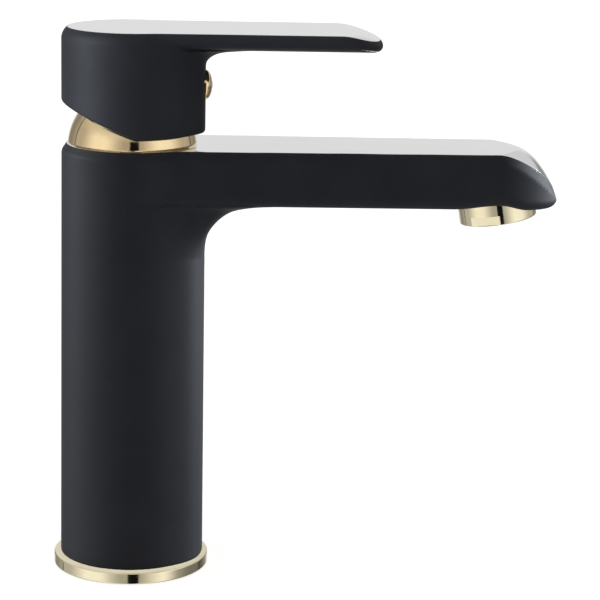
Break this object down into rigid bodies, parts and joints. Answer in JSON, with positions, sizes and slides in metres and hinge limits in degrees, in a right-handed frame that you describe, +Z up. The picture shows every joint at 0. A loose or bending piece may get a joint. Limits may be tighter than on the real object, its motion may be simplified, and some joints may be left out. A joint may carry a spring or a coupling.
{
  "type": "bathroom mixer faucet",
  "caption": "Single-lever basin mixer: tall round column, flat rectangular spout with a rounded nose, lever handle over a spherical dome.",
  "frame": {"origin": "on the column's axis, at the deck plane that the base gasket sits on", "axes": "+Z up along the column, +X along the spout towards its nose, +Y to the left of someone standing behind the spout"},
  "size_m": [0.1722, 0.0538, 0.1881],
  "materials": {
    "black_paint": "satin black paint on brass",
    "gold_plate": "polished gold plating",
    "brass": "machined brass",
    "rubber": "black moulded rubber",
    "ceramic": "lapped alumina",
    "white_plastic": "moulded acetal",
    "grey_plastic": "moulded acetal",
    "red_plastic": "dark red moulded plastic",
    "steel": "stainless steel"
  },
  "bodies": {
    "body": {"body_casting": "black_paint", "base_ring": "gold_plate", "base_gasket": "rubber", "cartridge_base": "white_plastic", "hot_inlet_seal": "rubber", "cold_inlet_seal": "rubber", "outlet_seal": "rubber", "fixed_disc": "ceramic", "cartridge_housing": "white_plastic", "cartridge_nut": "brass", "temperature_limit_ring": "red_plastic", "cartridge_dome": "gold_plate", "aerator_shell": "gold_plate", "aerator_cage": "white_plastic", "aerator_mesh": "steel", "aerator_washer": "rubber"},
    "swivel": {"stem_carrier": "grey_plastic", "pivot_pin": "steel"},
    "lever": {"cartridge_stem": "brass", "handle": "black_paint", "handle_set_screw": "steel", "index_button": "gold_plate", "index_insert": "red_plastic"},
    "disc": {"disc_carrier": "grey_plastic", "moving_disc": "ceramic"}
  },
  "joints": [
    {"name": "temperature_swivel", "type": "hinge", "parent": "body", "child": "swivel", "pos_m": [0, 0, 0.147], "axis": [0, 0, 1], "range_deg": [-45, 45]},
    {"name": "flow_lift", "type": "hinge", "parent": "swivel", "child": "lever", "pos_m": [0, 0, 0.147], "axis": [0, -1, 0], "range_deg": [0, 23]},
    {"name": "disc_slide", "type": "slide", "parent": "swivel", "child": "disc", "axis": [1, 0, 0], "range_m": [0, 0.0043]}
  ],
  "couplings": [
    {"joint": "disc_slide", "follows": "flow_lift", "m_per_rad": 0.0105}
  ]
}
